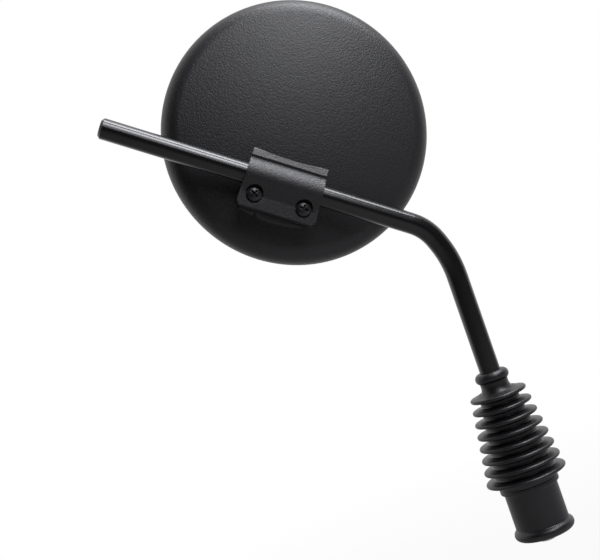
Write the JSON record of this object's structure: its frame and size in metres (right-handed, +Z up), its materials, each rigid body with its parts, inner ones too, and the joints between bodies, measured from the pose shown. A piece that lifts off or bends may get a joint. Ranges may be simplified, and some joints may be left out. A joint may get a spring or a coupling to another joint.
{
  "type": "motorcycle mirror",
  "caption": "Round clamp-on motorcycle mirror on a bent rod stem, with a folding knuckle in a ribbed rubber boot and a threaded stud.",
  "frame": {"origin": "on the axis of the mounting stud, in the plane of the lock nut's lower face, where it seats on the perch", "axes": "+Z up along the stud and the lower run of the stem, the bent stem in the XZ plane with its free end towards -X, the glass facing +Y"},
  "size_m": [0.157, 0.0515, 0.2881],
  "materials": {
    "zinc_steel": "zinc-plated steel, cut thread",
    "passivated_steel": "zinc-plated steel nut",
    "spring_steel": "dark spring steel sheet",
    "friction_disc": "pressed friction disc, matt brown",
    "black_rubber": "matt black moulded rubber",
    "black_paint": "satin-gloss black paint on steel rod",
    "liner_plastic": "plain black plastic",
    "grained_plastic": "black plastic with a fine leather grain",
    "black_screw": "blackened steel",
    "foam_rubber": "dark grey foam",
    "mirror_glass": "silvered convex glass",
    "rim_plastic": "smooth satin black plastic"
  },
  "bodies": {
    "root": {"knuckle_base": "zinc_steel", "lock_nut": "passivated_steel", "pivot_bolt": "zinc_steel", "pivot_nut": "passivated_steel", "disc_spring": "spring_steel", "friction_washer_left": "friction_disc", "friction_washer_right": "friction_disc", "rubber_boot": "black_rubber"},
    "stem": {"stem": "black_paint"},
    "liner": {"rod_liner": "liner_plastic"},
    "head": {"mirror_housing": "grained_plastic", "clamp_plate": "grained_plastic", "clamp_screw_left": "black_screw", "clamp_screw_right": "black_screw", "clamp_nut_left": "passivated_steel", "clamp_nut_right": "passivated_steel", "glass_pad": "foam_rubber", "mirror_glass": "mirror_glass", "rim_ring": "rim_plastic"}
  },
  "joints": [
    {"name": "stem_fold", "type": "hinge", "parent": "root", "child": "stem", "pos_m": [0, 0, 0.024], "axis": [1, 0, 0], "range_deg": [-35, 35], "deforming": ["rubber_boot"]},
    {"name": "head_slide", "type": "slide", "parent": "stem", "child": "liner", "axis": [0.809, 0, -0.5878], "range_m": [-0.06, 0.035]},
    {"name": "head_turn", "type": "hinge", "parent": "liner", "child": "head", "pos_m": [-0.06363, 0, 0.17827], "axis": [0.809, 0, -0.5878], "range_deg": [-40, 40]}
  ]
}
